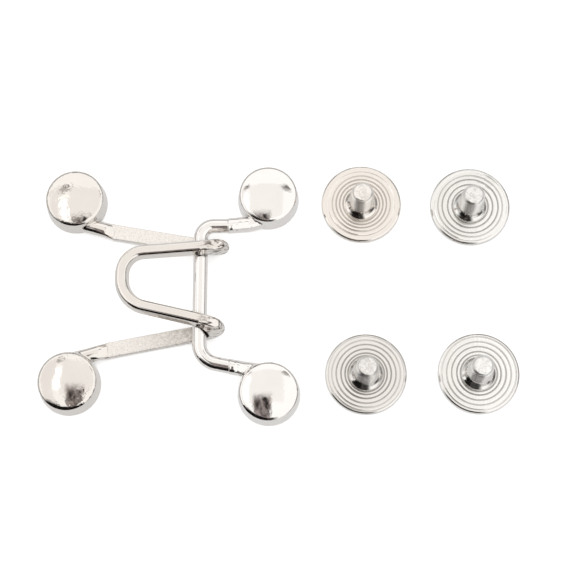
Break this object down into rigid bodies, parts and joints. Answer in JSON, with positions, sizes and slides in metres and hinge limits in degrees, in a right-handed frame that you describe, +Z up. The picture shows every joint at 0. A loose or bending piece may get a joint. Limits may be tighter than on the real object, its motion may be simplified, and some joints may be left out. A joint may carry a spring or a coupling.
{
  "type": "jeans waist buckle",
  "caption": "Two-part metal waist buckle: a hook casting and a bar casting, each with domed buttons, plus ridged screw-in backing studs for fastening them through denim.",
  "frame": {"origin": "under the middle of the whole set's box, on the plane that the buttons and the studs' discs stand on", "axes": "+X from the hook casting to the studs, +Y towards the upper pair of buttons, +Z up, away from the cloth side"},
  "size_m": [0.0822, 0.0463, 0.0074],
  "materials": {
    "nickel_hook": "polished nickel plate over zinc die casting, with a grainier, duller strip behind the bar",
    "nickel_bar": "polished nickel plate over zinc die casting",
    "nickel_stud": "bright nickel plate over pressed ridges and a rolled thread"
  },
  "bodies": {
    "hook": {"hook_half": "nickel_hook", "stud_upper_inner": "nickel_stud", "stud_upper_outer": "nickel_stud", "stud_lower_inner": "nickel_stud", "stud_lower_outer": "nickel_stud"},
    "bar": {"bar_half": "nickel_bar"}
  },
  "joints": [
    {"name": "bar_swing", "type": "hinge", "parent": "hook", "child": "bar", "pos_m": [-0.01355, 0, 0.00295], "axis": [0, -1, 0], "range_deg": [-125, 175]}
  ]
}
